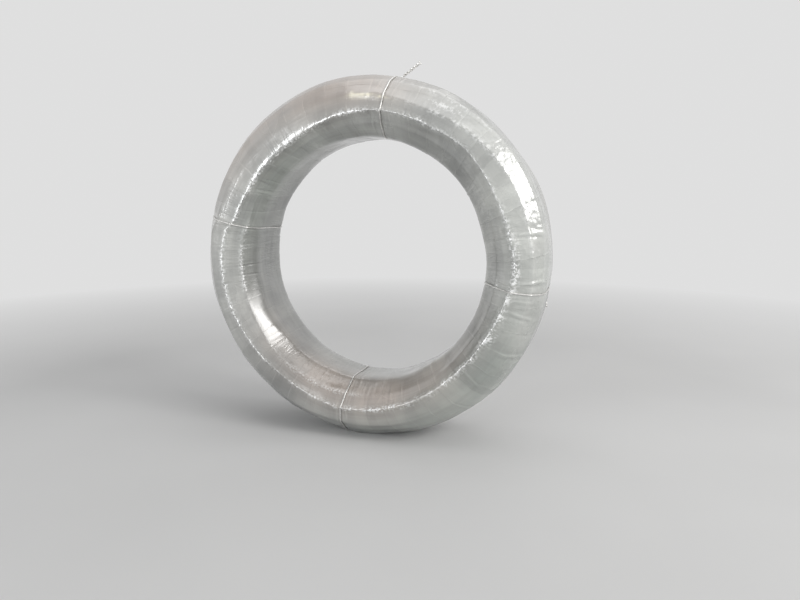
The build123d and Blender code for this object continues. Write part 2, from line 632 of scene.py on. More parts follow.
    def _unevenness(self) -> np.ndarray:
        """Slow swells of the bundle under the film, with hollows between its ridges.

        Returns:
            The heights, by step and station.
        """
        around = np.radians(self.angles)[:, None]
        across = 2.0 * pi * self.shares
        heights = self._level()
        for _ in range(self.swells):
            rings, turns = (self.draw.integers(*waves, endpoint=True) for waves in self.swell_waves)
            start, phase = self.draw.uniform(0.0, 2.0 * pi, 2)
            size = self.draw.uniform(*self.swell_height) * MM
            heights += size * np.cos(rings * around + start + turns * across + phase)
        runs = np.array([run for run, _ in self.stations])
        between = np.array([sin(pi * share) for _, share in self.stations])
        heights -= np.where(runs == 0, self.bore_sag, self.slope_sag) * between
        return heights + self.spots([self.bulge]) * (runs == 1) * between * self.bulge_height

    def _lap_steps(self) -> np.ndarray:
        """Low steps where each turn of the film lies over the one before.

        Returns:
            The heights, by step and station.
        """
        lap = self.laps * self.angles[:, None] / 360.0 - self.shares
        within = lap % 1.0
        steps = self.draw.uniform(*self.lap_steps, self.laps + 2)[np.floor(lap).astype(int) + 1]
        return self.lap_height * steps * (smooth_step(within, 0.0, self.lap_edge) - within)

    def _dented(self, folds: Iterable[Fold]) -> np.ndarray:
        """Folds pressed into level film.

        Args:
            folds: The folds, which may be drawn one by one.

        Returns:
            The heights, by step and station.
        """
        heights = self._level()
        step_length = 2.0 * pi * self.mean_r / self.turns
        for fold in folds:
            length, width = fold.length * MM, fold.width * MM
            reach = share_between(self.shares, fold.place) * self.girth
            rows = np.nonzero(np.abs(reach) < length)[0]
            middle = fold.angle / 360.0 * self.turns
            span = int((3.0 * width + abs(fold.slant) * length) / step_length) + 2
            columns = np.arange(int(middle) - span, int(middle) + span + 1)
            along = (columns - middle)[:, None] * step_length - fold.slant * reach[rows]
            shape = bell(along / width) * bell(reach[rows] / (0.5 * length))
            heights[np.ix_(columns % self.turns, rows)] += fold.height * MM * shape
        return heights

    def _gathers(self) -> Iterator[Fold]:
        """Wrinkles across the ring, in clusters where the film is slack on the bore side.

        Yields:
            Each wrinkle as a fold.
        """
        slack = self._slackness()
        weights = self.taut_gathers + slack
        weights = weights * (1.0 - self.middle_calm * (np.abs(self.depths) < self.middle_reach))
        weights = weights / weights.sum()
        taut_height, slack_height = self.gather_heights
        for _ in range(self.clusters):
            middle = self.draw.uniform(0.0, 360.0)
            station = self.draw.choice(len(self.stations), p=weights)
            lean = self.draw.normal(0.0, self.cluster_lean)
            for _ in range(self.draw.integers(*self.cluster_size, endpoint=True)):
                yield Fold(
                    angle=middle + self.draw.normal(0.0, self.cluster_scatter[0]),
                    place=self.shares[station] + self.draw.normal(0.0, self.cluster_scatter[1]),
                    length=self.draw.uniform(*self.gather_length),
                    width=self.draw.uniform(*self.gather_width),
                    height=self.draw.normal(0.0, taut_height + slack_height * slack[station]),
                    slant=lean + self.draw.normal(0.0, self.gather_slant),
                )

    def _strokes(self) -> Iterator[Fold]:
        """Short sharp strokes that cross the ridges, deepest where the ridge's glint is highest.

        Yields:
            Each stroke as a fold.
        """
        for ridge, corner, angles in self._ridge_lines():
            glints = ridge.glint(angles)
            for step in self.draw.integers(0, self.turns, ridge.strokes):
                yield Fold(
                    angle=self.angles[step] + self.draw.uniform(0.0, 360.0 / self.turns),
                    place=self.corners[corner] + self.draw.normal(0.0, self.stroke_scatter),
                    length=self.draw.uniform(*self.stroke_length),
                    width=self.draw.uniform(*self.stroke_width),
                    height=self.draw.normal(0.0, self.stroke_height) * glints[step],
                    slant=self.draw.normal(0.0, self.stroke_slant),
                )

    def _raised_line(self, off: np.ndarray, reach: float, place: np.ndarray, width: float,
                     power: int = 2) -> np.ndarray:
        """Raised line that runs round the ring.

        Args:
            off: Angle of each step from the line's middle.
            reach: How far the line reaches each way, in degrees.
            place: Its place at each step, as a share of the way round the section.
            width: Half width across it in millimetres.
            power: How suddenly it ends.

        Returns:
            Its rise from 0 to 1, by step and station.
        """
        across = share_between(self.shares, place[:, None]) * self.girth / (width * MM)
        return np.exp(-((off / reach) ** power))[:, None] * bell(across)

    def _long_creases(self) -> np.ndarray:
        """Long creases that run round the ring on the taut outer side, most of them from a tie.

        Returns:
            The heights, by step and station.
        """
        heights = self._level()
        weights = self.slack_creases + (1.0 - self._slackness())
        weights = weights / weights.sum()
        ties = [spec.angle for spec in TIES.values()]
        for _ in range(self.long_creases):
            by_tie = self.draw.uniform() < self.creases_by_ties
            spread = self.draw.normal(0.0, self.crease_scatter)
            middle = self.draw.choice(ties) + spread if by_tie else self.draw.uniform(0.0, 360.0)
            place = self.shares[self.draw.choice(len(self.stations), p=weights)]
            reach = self.draw.uniform(*self.crease_reach)
            height = self.draw.normal(0.0, self.crease_height) * MM
            drift = self.draw.normal(0.0, self.crease_drift)
            width = self.draw.uniform(*self.crease_width)
            off = turn_between(self.angles, middle)
            heights += height * self._raised_line(off, reach, place + drift * off, width)
        return heights

    def _folds_beside(self, angle: float) -> Iterator[Fold]:
        """Sharp folds that a tie pulls into the film beside it.

        Args:
            angle: Clock angle of the tie.

        Yields:
            Each fold.
        """
        for _ in range(self.folds_per_tie):
            yield Fold(
                angle=angle + self.draw.choice([-1.0, 1.0]) * self.draw.uniform(*self.tie_fold_off),
                place=self.draw.uniform(0.0, 1.0),
                length=self.draw.uniform(*self.tie_fold_length),
                width=self.draw.uniform(*self.tie_fold_width),
                height=self.draw.uniform(*self.tie_fold_height),
                slant=self.draw.normal(0.0, self.gather_slant),
            )

    def _creases_from(self, angle: float) -> np.ndarray:
        """Creases that run away from a tie, round the ring.

        Args:
            angle: Clock angle of the tie.

        Returns:
            The heights, by step and station.
        """
        heights = self._level()
        for _ in range(self.creases_per_tie):
            place = self.draw.uniform(0.0, 1.0)
            reach = self.draw.uniform(*self.tie_crease_reach)
            middle = angle + self.draw.choice([-1.0, 1.0]) * self.tie_crease_shift * reach
            off = turn_between(self.angles, middle)
            place = place + self.draw.normal(0.0, self.tie_crease_drift) * off
            height = self.draw.normal(0.0, self.tie_crease_height) * MM
            heights += height * self._raised_line(off, reach, place, self.tie_crease_width)
        return heights

    def _streak(self, streak: Streak) -> np.ndarray:
        """Line that one streak raises.

        Args:
            streak: The streak.

        Returns:
            Its rise from 0 to 1, by step and station.
        """
        off = turn_between(self.angles, streak.angle)
        place = self._place(streak.corner + streak.drift * off)
        return self._raised_line(off, streak.reach, place, streak.width, power=4)

    def _pinches(self) -> np.ndarray:
        """Dents all round the section where the ties are pulled into the film.

        Returns:
            The heights, by step.
        """
        heights = np.zeros((self.turns, 1))
        for spec in TIES.values():
            off = np.radians(turn_between(self.angles, spec.angle))[:, None] * self.mean_r
            heights -= self.pinch_depth * bell(off / self.pinch_width)
            heights -= self.pull_depth * bell(off / self.pull_width)
        return heights

    def _footing(self) -> np.ndarray:
        """Swell of the rim at the bottom, which the floor then presses flat.

        Returns:
            The heights, by step and station.
        """
        near = bell(turn_between(self.angles, BOTTOM_ANGLE) / self.footing_spread)
        rim = 1.0 - smooth_step(np.abs(self.depths), *self.footing_fall)
        return self.footing * near[:, None] * rim * (self.radii > self.rim_start)

    def _wear_and_glint(self) -> np.ndarray:
        """Where the film is painted white along sharp ridges and streaks, partly real wear and partly painted
        highlight; this also sets the depth of its fine strokes.

        Returns:
            The mask from 0 to 1, by step and station.
        """
        wear_glint = self._level()
        for ridge, corner, angles in self._ridge_lines():
            glint = ridge.glint(angles)[:, None]
            top = self.sections[:, [self._station(corner)]]
            off = np.linalg.norm(self.sections - top, axis=2) / (self.wear_glint_reach * (1.0 + glint))
            wear_glint = np.maximum(wear_glint, glint * bell(off))
        for streak in STREAKS:
            wear_glint = np.maximum(wear_glint, streak.glint * self._streak(streak))
        return wear_glint

    def _hollows(self) -> np.ndarray:
        """Where the film lies in a hollow or on a rise, which the finish paints as shade and light.

        Returns:
            From -1 in a hollow to 1 on a rise, by step and station.
        """
        blurred = self.heights.copy()
        for _ in range(3):
            blurred = (blurred + np.roll(blurred, 2, axis=0) + np.roll(blurred, -2, axis=0)) / 3.0
        return np.clip((self.heights - blurred) / self.full_hollow, -1.0, 1.0)

    def marks(self) -> dict[Patch, np.ndarray]:
        """What the film's finish reads, apart from the vector of its lay.

        Returns:
            The values of each attribute, by step and station.
        """
        return {
            Patch.LAY_FOURTH: self._level() + np.sin(2.0 * pi * self.shares),
            Patch.SLACK: self._level() + self._slackness(),
            Patch.HOLLOW: self._hollows(),
            Patch.RIDGE: self._wear_and_glint(),
            **{patch: self.spots(spots) for patch, spots in SPOTS.items()},
        }

    def lowest(self) -> np.ndarray:
        """Lowest height of the film near each place, for what lies under it.

        Returns:
            The heights, by step and station.
        """
        low = self.heights.copy()
        for axis, shifts in ((0, (1, 2, 4, 8, 8)), (1, (1, 1, 1))):
            for shift in shifts:
                low = np.minimum(low, np.minimum(np.roll(low, shift, axis), np.roll(low, -shift, axis)))
        return low

    def raised(self, heights: np.ndarray, steps: int | slice | np.ndarray = slice(None)) -> np.ndarray:
        """Sections at some steps, moved off themselves by heights."""
        return self.sections[steps] + outward(self.sections[steps]) * heights[..., None]

    def places(self, heights: np.ndarray) -> np.ndarray:
        """Points of the surface, kept inside the solid's box.

        Args:
            heights: Height over the rounded section, by step and station.

        Returns:
            The points as x, y and z, by step and station.
        """
        least = (self.bore_r - self.bore_play, -self.half_width)
        flat = np.clip(self.raised(heights), least, (self.outer_r - self.rim_play, self.half_width))
        points = turned_out(flat, np.radians(self.angles)[:, None])
        points[..., 2] = np.maximum(points[..., 2], -self.outer_r + self.rim_play)
        return points


class NodeSheet:
    """Nodes of one material or world, added and joined by short calls."""

    def __init__(self, owner: bpy.types.Material | bpy.types.World) -> None:
        """Start with an empty tree.

        Args:
            owner: Material or world that the nodes are for.
        """
        self.owner = owner
        owner.use_nodes = True
        self.tree = owner.node_tree
        self.tree.nodes.clear()

    def add(self, kind: str, inputs: dict | None = None, **settings: object) -> bpy.types.Node:
        """Add a node.

        Args:
            kind: Node type without its ShaderNode prefix.
            inputs: Values or sockets for its inputs, by name or number.
            settings: Properties of the node.

        Returns:
            The new node.
        """
        node = self.tree.nodes.new("ShaderNode" + kind)
        for key, value in settings.items():
            setattr(node, key, value)
        for key, value in (inputs or {}).items():
            if isinstance(value, Socket):
                self.tree.links.new(value, node.inputs[key])
            else:
                node.inputs[key].default_value = value
        return node

    def attribute(self, patch: Patch, output: str = "Fac") -> Socket:
        """Value of one of the wrap's point attributes."""
        return self.add("Attribute", attribute_name=patch.value).outputs[output]

    def place(self) -> Socket:
        """Place in the piece's own coordinates."""
        return self.add("TexCoord").outputs["Object"]

    def math(self, operation: str, first: float | Socket, *others: float | Socket) -> Socket:
        """Result of Math nodes, one for each value after the first.

        Args:
            operation: Operation of the nodes.
            first: Value or socket to start from.
            others: Values or sockets that are joined to it in turn.

        Returns:
            The socket of the result.
        """
        if not others:
            return self.add("Math", {0: first}, operation=operation).outputs[0]
        for other in others:
            first = self.add("Math", {0: first, 1: other}, operation=operation).outputs[0]
        return first

    def plus(self, *values: float | Socket) -> Socket:
        """Sum of values or sockets."""
        return self.math("ADD", *values)

    def times(self, *values: float | Socket) -> Socket:
        """Product of values or sockets."""
        return self.math("MULTIPLY", *values)

    def minus(self, first: float | Socket, second: float | Socket) -> Socket:
        """Difference of two values or sockets."""
        return self.math("SUBTRACT", first, second)

    def mix(self, share: Socket, first: tuple | Socket, second: tuple | Socket) -> Socket:
        """Colour mixed from two colours or colour sockets."""
        return self.add("Mix", {0: share, 6: first, 7: second}, data_type="RGBA").outputs[2]

    def span(self, value: Socket, source: Pair, target: Pair = (0.0, 1.0)) -> Socket:
        """Value mapped from one range to another, and held inside it."""
        inputs = {0: value, 1: source[0], 2: source[1], 3: target[0], 4: target[1]}
        return self.add("MapRange", inputs).outputs[0]

    def noise(self, vector: Socket, scale: float, detail: float, roughness: float,
              fourth: Socket | None = None) -> Socket:
        """Value of a noise texture.

        Args:
            vector: Place that the noise is read at.
            scale: Scale of the noise.
            detail: Octaves over the first.
            roughness: Share of each octave in the next.
            fourth: Fourth coordinate, where the noise has four.

        Returns:
            The socket of its value.
        """
        inputs = {"Vector": vector, "Scale": scale, "Detail": detail, "Roughness": roughness}
        if fourth is None:
            return self.add("TexNoise", inputs).outputs[0]
        return self.add("TexNoise", {"W": fourth, **inputs}, noise_dimensions="4D").outputs[0]

    def bump(self, height: Socket, strength: float, distance: float) -> Socket:
        """Normal that a height gives."""
        return self.add("Bump", {"Height": height, "Strength": strength, "Distance": distance}).outputs[0]

    def finish(self, kind: str, inputs: dict) -> bpy.types.Material:
        """Join a shader to the material's output and give the material back."""
        self.add("OutputMaterial", {"Surface": self.add(kind, inputs).outputs[0]})
        return self.owner


def rgba(red: float, green: float, blue: float) -> tuple[float, float, float, float]:
    """Opaque colour."""
    return (red, green, blue, 1.0)


# Range that most values of a noise lie in
MIDDLE = (0.3, 0.7)

# Noises that follow the film's lay: cells for each radian round the ring and round its section, detail
LAID_NOISES = {
    "creases": (24.0, 1.3, 3.0), "streaks": (1.5, 7.0, 2.0), "strokes": (66.0, 17.0, 2.0),
    "breaks": (14.0, 3.0, 2.0), "drawn_out": (1.9, 5.0, 1.0), "wires": (2.2, 20.0, 1.0),
}

# Noises that don't follow it: scale, detail and roughness
FREE_NOISES = {
    "patches": (5.5, 3.0, 0.6), "clouds": (13.0, 2.0, 0.5), "waves": (26.0, 2.0, 0.5),
    "crumple": (24.0, 2.0, 0.6),
}


class FilmSheet(NodeSheet):
    """Nodes of the stretch film, starting with those that its colour and its relief share.

    Attributes:
        on: Values of the wrap's attributes.
        noises: Noises by name.
        lap: Number of the turn of film, with the share of the way across it.
    """

    lay_roughness = 0.55
    lap_wander = 0.05

    def __init__(self, owner: bpy.types.Material) -> None:
        """Add the shared nodes.

        Args:
            owner: Material that the nodes are for.
        """
        super().__init__(owner)
        self.on = {patch: self.attribute(patch) for patch in Patch if patch is not Patch.LAY}
        lay, place = self.attribute(Patch.LAY, "Vector"), self.place()
        self.noises = {name: self.noise(place, *sizes) for name, sizes in FREE_NOISES.items()}
        for name, (around, across, detail) in LAID_NOISES.items():
            spread = self.add("VectorMath", {0: lay, 1: (around, around, across)}, operation="MULTIPLY")
            fourth = self.times(self.on[Patch.LAY_FOURTH], across)
            self.noises[name] = self.noise(spread.outputs[0], 1.0, detail, self.lay_roughness, fourth)
        layout = self.add("UVMap", uv_map="FilmLaps").outputs[0]
        laps, share, _ = self.add("SeparateXYZ", {0: layout}).outputs
        wander = self.span(self.noises["clouds"], MIDDLE, (-self.lap_wander, self.lap_wander))
        self.lap = self.plus(self.minus(laps, share), wander)


@dataclass(frozen=True)
class StretchFilmFinish:
    """Many layers of milk-white stretch film: glossy, creased across the ring and faintly banded, with
    painted sheen, painted highlights and painted shade in its colour.

    Attributes:
        overlap: Share of a lap at which the next turn of film starts to lie over it.
        lap_edge: Width of the pale edge of a turn, as a share of a lap.
        lap_tone: How far a turn of film may be paler or darker, and so on for the other tones.
        crease_relief: Height of the creases in millimetres, and so on for the other reliefs.
        stilled: Share of the relief that is left where the film is stretched smooth.
        smooth_dulling: What stretching adds to the roughness of the coat.
    """

    pale: tuple = rgba(0.385, 0.388, 0.368)
    grey: tuple = rgba(0.205, 0.209, 0.202)
    warm: tuple = rgba(0.330, 0.270, 0.232)
    green: tuple = rgba(0.265, 0.320, 0.275)
    # Paler tone that paints sheen and hot spots, partly real milk-white film
    milk_white_and_sheen: tuple = rgba(0.520, 0.530, 0.505)
    # White along ridges and streaks, partly real stress-whitening and partly painted highlight
    scuff_white_and_glint: tuple = rgba(0.890, 0.895, 0.890)
    # Painted cream highlight
    painted_cream_highlight: tuple = rgba(0.800, 0.750, 0.610)
    green_share: float = 0.8
    overlap: float = 0.46
    lap_edge: float = 0.07
    lap_tone: float = 0.10
    overlap_tone: float = 0.06
    wire_tone: float = 0.05
    drawn_tone: float = 0.10
    cloud_tone: float = 0.10
    # Painted shade in hollows and painted light on rises
    painted_relief_shade: float = 0.15
    edge_tone: float = 0.38
    crease_sharpness: float = 9.0
    streak_sharpness: float = 12.0
    crease_relief: float = 0.60
    streak_relief: float = 0.25
    stroke_relief: float = 0.95
    wire_relief: float = 0.05
    wave_relief: float = 1.6
    crumple_relief: float = 6.5
    lap_relief: float = 0.45
    stilled: float = 0.12
    sheen_index: float = 1.85
    gloss: Pair = (0.30, 0.40)
    coat: float = 1.0
    coat_gloss: Pair = (0.11, 0.27)
    smooth_dulling: float = 0.12
    coat_index: float = 1.9

    def material(self) -> bpy.types.Material:
        """Node material that reads the wrap's own attributes.

        Returns:
            The material.
        """
        sheet = FilmSheet(bpy.data.materials.new("stretch_film_milky"))
        clouds = sheet.noises["clouds"]
        normal = sheet.bump(self._relief(sheet), 1.0, 1.0 * MM)
        dulled = sheet.times(sheet.on[Patch.SMOOTH], self.smooth_dulling)
        return sheet.finish("BsdfPrincipled", {
            "Base Color": self._colour(sheet), "Roughness": sheet.span(clouds, MIDDLE, self.gloss),
            "IOR": self.sheen_index, "Normal": normal, "Coat Weight": self.coat,
            "Coat Roughness": sheet.plus(sheet.span(clouds, MIDDLE, self.coat_gloss), dulled),
            "Coat IOR": self.coat_index, "Coat Normal": normal,
        })

    def _colour(self, sheet: FilmSheet) -> Socket:
        """Colour of the film: pale, grey and tinted patches, painted sheen and a painted cream highlight, its
        laps, painted relief shade, and white ridges of wear and painted highlight.

        Args:
            sheet: Nodes of the film.

        Returns:
            The colour's socket.
        """
        on, noises = sheet.on, sheet.noises
        colour = sheet.mix(sheet.span(noises["patches"], (0.35, 0.65)), self.grey, self.pale)
        colour = sheet.mix(sheet.times(on[Patch.GREEN], self.green_share), colour, self.green)
        # Tints laid on in turn: painted sheen, warm tint, painted cream highlight
        for patch, noise, source, target, tint in (
            (Patch.MILK_WHITE_AND_SHEEN, "patches", (0.3, 0.6), (0.45, 1.0), self.milk_white_and_sheen),
            (Patch.WARM, "patches", (0.25, 0.62), (0.35, 1.0), self.warm),
            (Patch.THICK, "breaks", (0.42, 0.52), (0.25, 1.0), self.painted_cream_highlight),
        ):
            share = sheet.times(on[patch], sheet.span(noises[noise], source, target))
            colour = sheet.mix(share, colour, tint)
        within, turn = sheet.math("FRACT", sheet.lap), sheet.math("FLOOR", sheet.lap)
        tone = sheet.add("TexWhiteNoise", {"W": turn}, noise_dimensions="1D").outputs["Value"]
        wires = sheet.span(noises["wires"], MIDDLE, (-self.wire_tone, self.wire_tone))
        drawn = sheet.plus(
            sheet.times(wires, sheet.plus(on[Patch.SLACK], 0.3)),
            sheet.span(noises["drawn_out"], MIDDLE, (-self.drawn_tone, self.drawn_tone)))
        edge = sheet.times(
            sheet.span(within, (0.0, self.lap_edge), (1.0, 0.0)),
            sheet.span(noises["breaks"], (0.40, 0.60), (0.1, 1.0)))
        # Brightness of the film; its hollow term is painted shade in hollows and painted light on rises
        value = sheet.plus(
            1.0,
            sheet.span(tone, (0.0, 1.0), (-self.lap_tone, self.lap_tone)),
            sheet.times(sheet.math("GREATER_THAN", within, self.overlap), self.overlap_tone),
            sheet.times(drawn, sheet.span(on[Patch.MILK_WHITE_AND_SHEEN], (0.0, 1.0), (1.0, 0.3))),
            sheet.span(noises["clouds"], MIDDLE, (-self.cloud_tone, self.cloud_tone)),
            sheet.times(on[Patch.HOLLOW], self.painted_relief_shade),
            sheet.times(edge, self.edge_tone))
        shade = sheet.add("HueSaturation", {"Color": colour, "Value": value}).outputs[0]
        # Painted highlight: white flecks along ridges and streaks stand in for glints, partly real
        # stress-whitening
        wear_glint = sheet.times(on[Patch.RIDGE], sheet.span(noises["breaks"], (0.40, 0.56), (0.25, 1.3)))
        return sheet.mix(sheet.times(wear_glint, sheet.span(noises["strokes"], (0.47, 0.57))), shade, self.scuff_white_and_glint)

    def _relief(self, sheet: FilmSheet) -> Socket:
        """Fine relief of the film in millimetres: creases, streaks, strokes, waves and laps.

        Args:
            sheet: Nodes of the film.

        Returns:
            The height's socket.
        """
        def off_middle(noise: str) -> Socket:
            """How far a noise is from its middle value."""
            return sheet.math("ABSOLUTE", sheet.minus(sheet.noises[noise], 0.5))

        def lines(noise: str, sharpness: float) -> Socket:
            """Thin raised lines where a noise passes its middle value."""
            rise = sheet.minus(1.0, sheet.times(off_middle(noise), sharpness))
            return sheet.math("POWER", sheet.math("MAXIMUM", rise, 0.0), 2.0)

        on, noises = sheet.on, sheet.noises
        slackness = sheet.plus(sheet.times(on[Patch.SLACK], 0.75), 0.25)
        calm = sheet.span(noises["clouds"], (0.40, 0.62), (0.15, 1.0))
        wear_glint = sheet.plus(sheet.times(on[Patch.RIDGE], self.stroke_relief), 0.02)
        relief = sheet.plus(
            sheet.times(lines("creases", self.crease_sharpness), self.crease_relief, slackness, calm),
            sheet.times(lines("streaks", self.streak_sharpness), self.streak_relief,
                        sheet.minus(1.1, on[Patch.SLACK])),
            sheet.times(noises["strokes"], wear_glint),
            sheet.times(noises["wires"], self.wire_relief),
            sheet.times(noises["waves"], self.wave_relief))
        relief = sheet.times(relief, sheet.span(on[Patch.SMOOTH], (0.0, 1.0), (1.0, self.stilled)))
        crumple = sheet.times(off_middle("crumple"), on[Patch.MILK_WHITE_AND_SHEEN], self.crumple_relief)
        fall = sheet.minus(1.0, sheet.math("FRACT", sheet.lap))
        return sheet.plus(sheet.minus(relief, crumple), sheet.times(fall, self.lap_relief))


@dataclass(frozen=True)
class TieSteelFinish:
    """Soft tie wire of bright steel, drawn lengthwise, with a few scuffs."""

    bright: tuple = rgba(0.90, 0.89, 0.87)
    dull: tuple = rgba(0.62, 0.61, 0.59)
    metallic: float = 0.70
    roughness: Pair = (0.22, 0.42)

    def material(self) -> bpy.types.Material:
        """Node material with scuffs and fine scratches.

        Returns:
            The material.
        """
        sheet = NodeSheet(bpy.data.materials.new("tie_steel_annealed"))
        place = sheet.place()
        scuffs = sheet.noise(place, 140.0, 4.0, 0.65)
        grain = sheet.noise(place, 900.0, 2.0, 0.6)
        return sheet.finish("BsdfPrincipled", {
            "Base Color": sheet.mix(sheet.span(scuffs, (0.35, 0.65)), self.dull, self.bright),
            "Roughness": sheet.span(grain, (0.2, 0.8), self.roughness), "Metallic": self.metallic,
            "Normal": sheet.bump(scuffs, 0.4, 0.15 * MM),
        })


@dataclass(frozen=True)
class SpringWireFinish:
    """Close-packed drawn spring wire: its turns show as fine ridges round the ring."""

    steel: tuple = rgba(0.30, 0.31, 0.32)
    oiled: tuple = rgba(0.13, 0.13, 0.135)
    metallic: float = 0.95
    roughness: Pair = (0.25, 0.42)
    wire_pitch: float = 4.0 * MM

    def material(self) -> bpy.types.Material:
        """Node material whose ridges follow the radius and the place along the axis.

        Returns:
            The material.
        """
        sheet = NodeSheet(bpy.data.materials.new("spring_wire_drawn"))
        place = sheet.place()
        x, y, z = sheet.add("SeparateXYZ", {0: place}).outputs
        radius = sheet.math("SQRT", sheet.plus(sheet.math("POWER", x, 2.0), sheet.math("POWER", z, 2.0)))
        ripples = [
            sheet.math("ABSOLUTE", sheet.math("SINE", sheet.times(way, 2.0 * pi / self.wire_pitch)))
            for way in (radius, y)
        ]
        oil = sheet.noise(place, 9.0, 4.0, 0.6)
        return sheet.finish("BsdfPrincipled", {
            "Base Color": sheet.mix(sheet.span(oil, MIDDLE), self.oiled, self.steel),
            "Roughness": sheet.span(oil, MIDDLE, self.roughness), "Metallic": self.metallic,
            "Normal": sheet.bump(sheet.math("MAXIMUM", *ripples), 0.8, 1.0 * MM),
        })


def set_up(piece: bpy.types.Object, material: bpy.types.Material, slot: Slot, node: str) -> None:
    """Give a piece its finish and its body, and hide the solid's node that it stands for.

    Args:
        piece: The piece.
        material: Its finish.
        slot: Material slot of the record, not used.
        node: Node of the solid that it replaces.
    """
    piece.data.materials.clear()
    piece.data.materials.append(material)
    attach(piece, "root")
    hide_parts(node)
    log.info("%s: %d faces, finish %s", piece.name, len(piece.data.polygons), material.name)


def linked(name: str, data: bpy.types.ID) -> bpy.types.Object:
    """Put a new object in the scene.

    Args:
        name: Name of the object.
        data: Mesh, curve, lamp or camera that it shows.

    Returns:
        The object.
    """
    thing = bpy.data.objects.new(name, data)
    bpy.context.scene.collection.objects.link(thing)
    return thing


@dataclass
class SpunRing:
    """Closed ring spun from an outline, whose vertices are then laid on a grid of places.

    Attributes:
        outline: Points of (radius, place along the axis) round the section.
        coarse_steps: Steps of the spin.
        cuts: Cuts that divide each step afterwards.
        seam: Distance under which vertices are merged.
        slop: Difference under which two measures are the same.
    """

    outline: np.ndarray
    coarse_steps: int
    cuts: int
    seam: float = 0.02 * MM
    slop: float = 0.01 * MM

    def _build(self) -> bmesh.types.BMesh:
        """Spin the outline, divide its steps and turn its faces outwards.

        Returns:
            The ring.
        """
        ring = bmesh.new()
        corners = [ring.verts.new((radius, depth, 0.0)) for radius, depth in self.outline]
        edges = [ring.edges.new(pair) for pair in zip(corners, corners[1:] + corners[:1])]
        bmesh.ops.spin(ring, geom=corners + edges, cent=(0, 0, 0), axis=(0, 1, 0),
                       angle=2.0 * pi, steps=self.coarse_steps, use_merge=True, use_duplicate=False)
        if self.cuts:
            round_edges = [edge for edge in ring.edges if self._is_round(edge)]
            bmesh.ops.subdivide_edges(ring, edges=round_edges, cuts=self.cuts, use_grid_fill=True)
        bmesh.ops.remove_doubles(ring, verts=ring.verts, dist=self.seam)
        bmesh.ops.recalc_face_normals(ring, faces=ring.faces)
        return ring

    def _is_round(self, edge: bmesh.types.BMEdge) -> bool:
        """Whether an edge runs round the axis, both ends at one radius and depth."""
        first, last = (corner.co for corner in edge.verts)
        return max(abs(first.y - last.y), abs(first.xz.length - last.xz.length)) < self.slop

    def _grid_of(self, mesh: bpy.types.Mesh) -> tuple[np.ndarray, np.ndarray]:
        """Find where each vertex of the spun ring belongs.

        Args:
            mesh: The ring as it was spun.

        Returns:
            The step round the ring and the point of the outline of each vertex.
        """
        spots = np.empty(len(mesh.vertices) * 3, np.float32)
        mesh.vertices.foreach_get("co", spots)
        spots = spots.reshape(-1, 3)
        count = self.coarse_steps * (self.cuts + 1)
        turned = np.degrees(np.arctan2(spots[:, 2], spots[:, 0])) % 360.0
        steps = np.rint(turned / 360.0 * count).astype(int) % count
        flat = np.stack([np.hypot(spots[:, 0], spots[:, 2]), spots[:, 1]], axis=1)
        far = ((flat[:, None, :] - self.outline[None, :, :]) ** 2).sum(axis=2)
        return steps, far.argmin(axis=1)

    def laid(self, name: str, places: np.ndarray,
             inwards: bool = False) -> tuple[bpy.types.Mesh, np.ndarray, np.ndarray]:
        """Mesh of the ring with each vertex at its place.

        Args:
            name: Name of the mesh.
            places: Points by step round the ring and by point of the outline.
            inwards: Whether its faces look into the section.

        Returns:
            The mesh, and the step and outline point of each vertex.
        """
        ring = self._build()
        if inwards:
            bmesh.ops.reverse_faces(ring, faces=ring.faces)
        mesh = bpy.data.meshes.new(name)
        ring.to_mesh(mesh)
        ring.free()
        steps, points = self._grid_of(mesh)
        mesh.vertices.foreach_set("co", places[steps, points].astype(np.float32).ravel())
        mesh.polygons.foreach_set("use_smooth", np.ones(len(mesh.polygons), bool))
        mesh.update()
        return mesh, steps, points


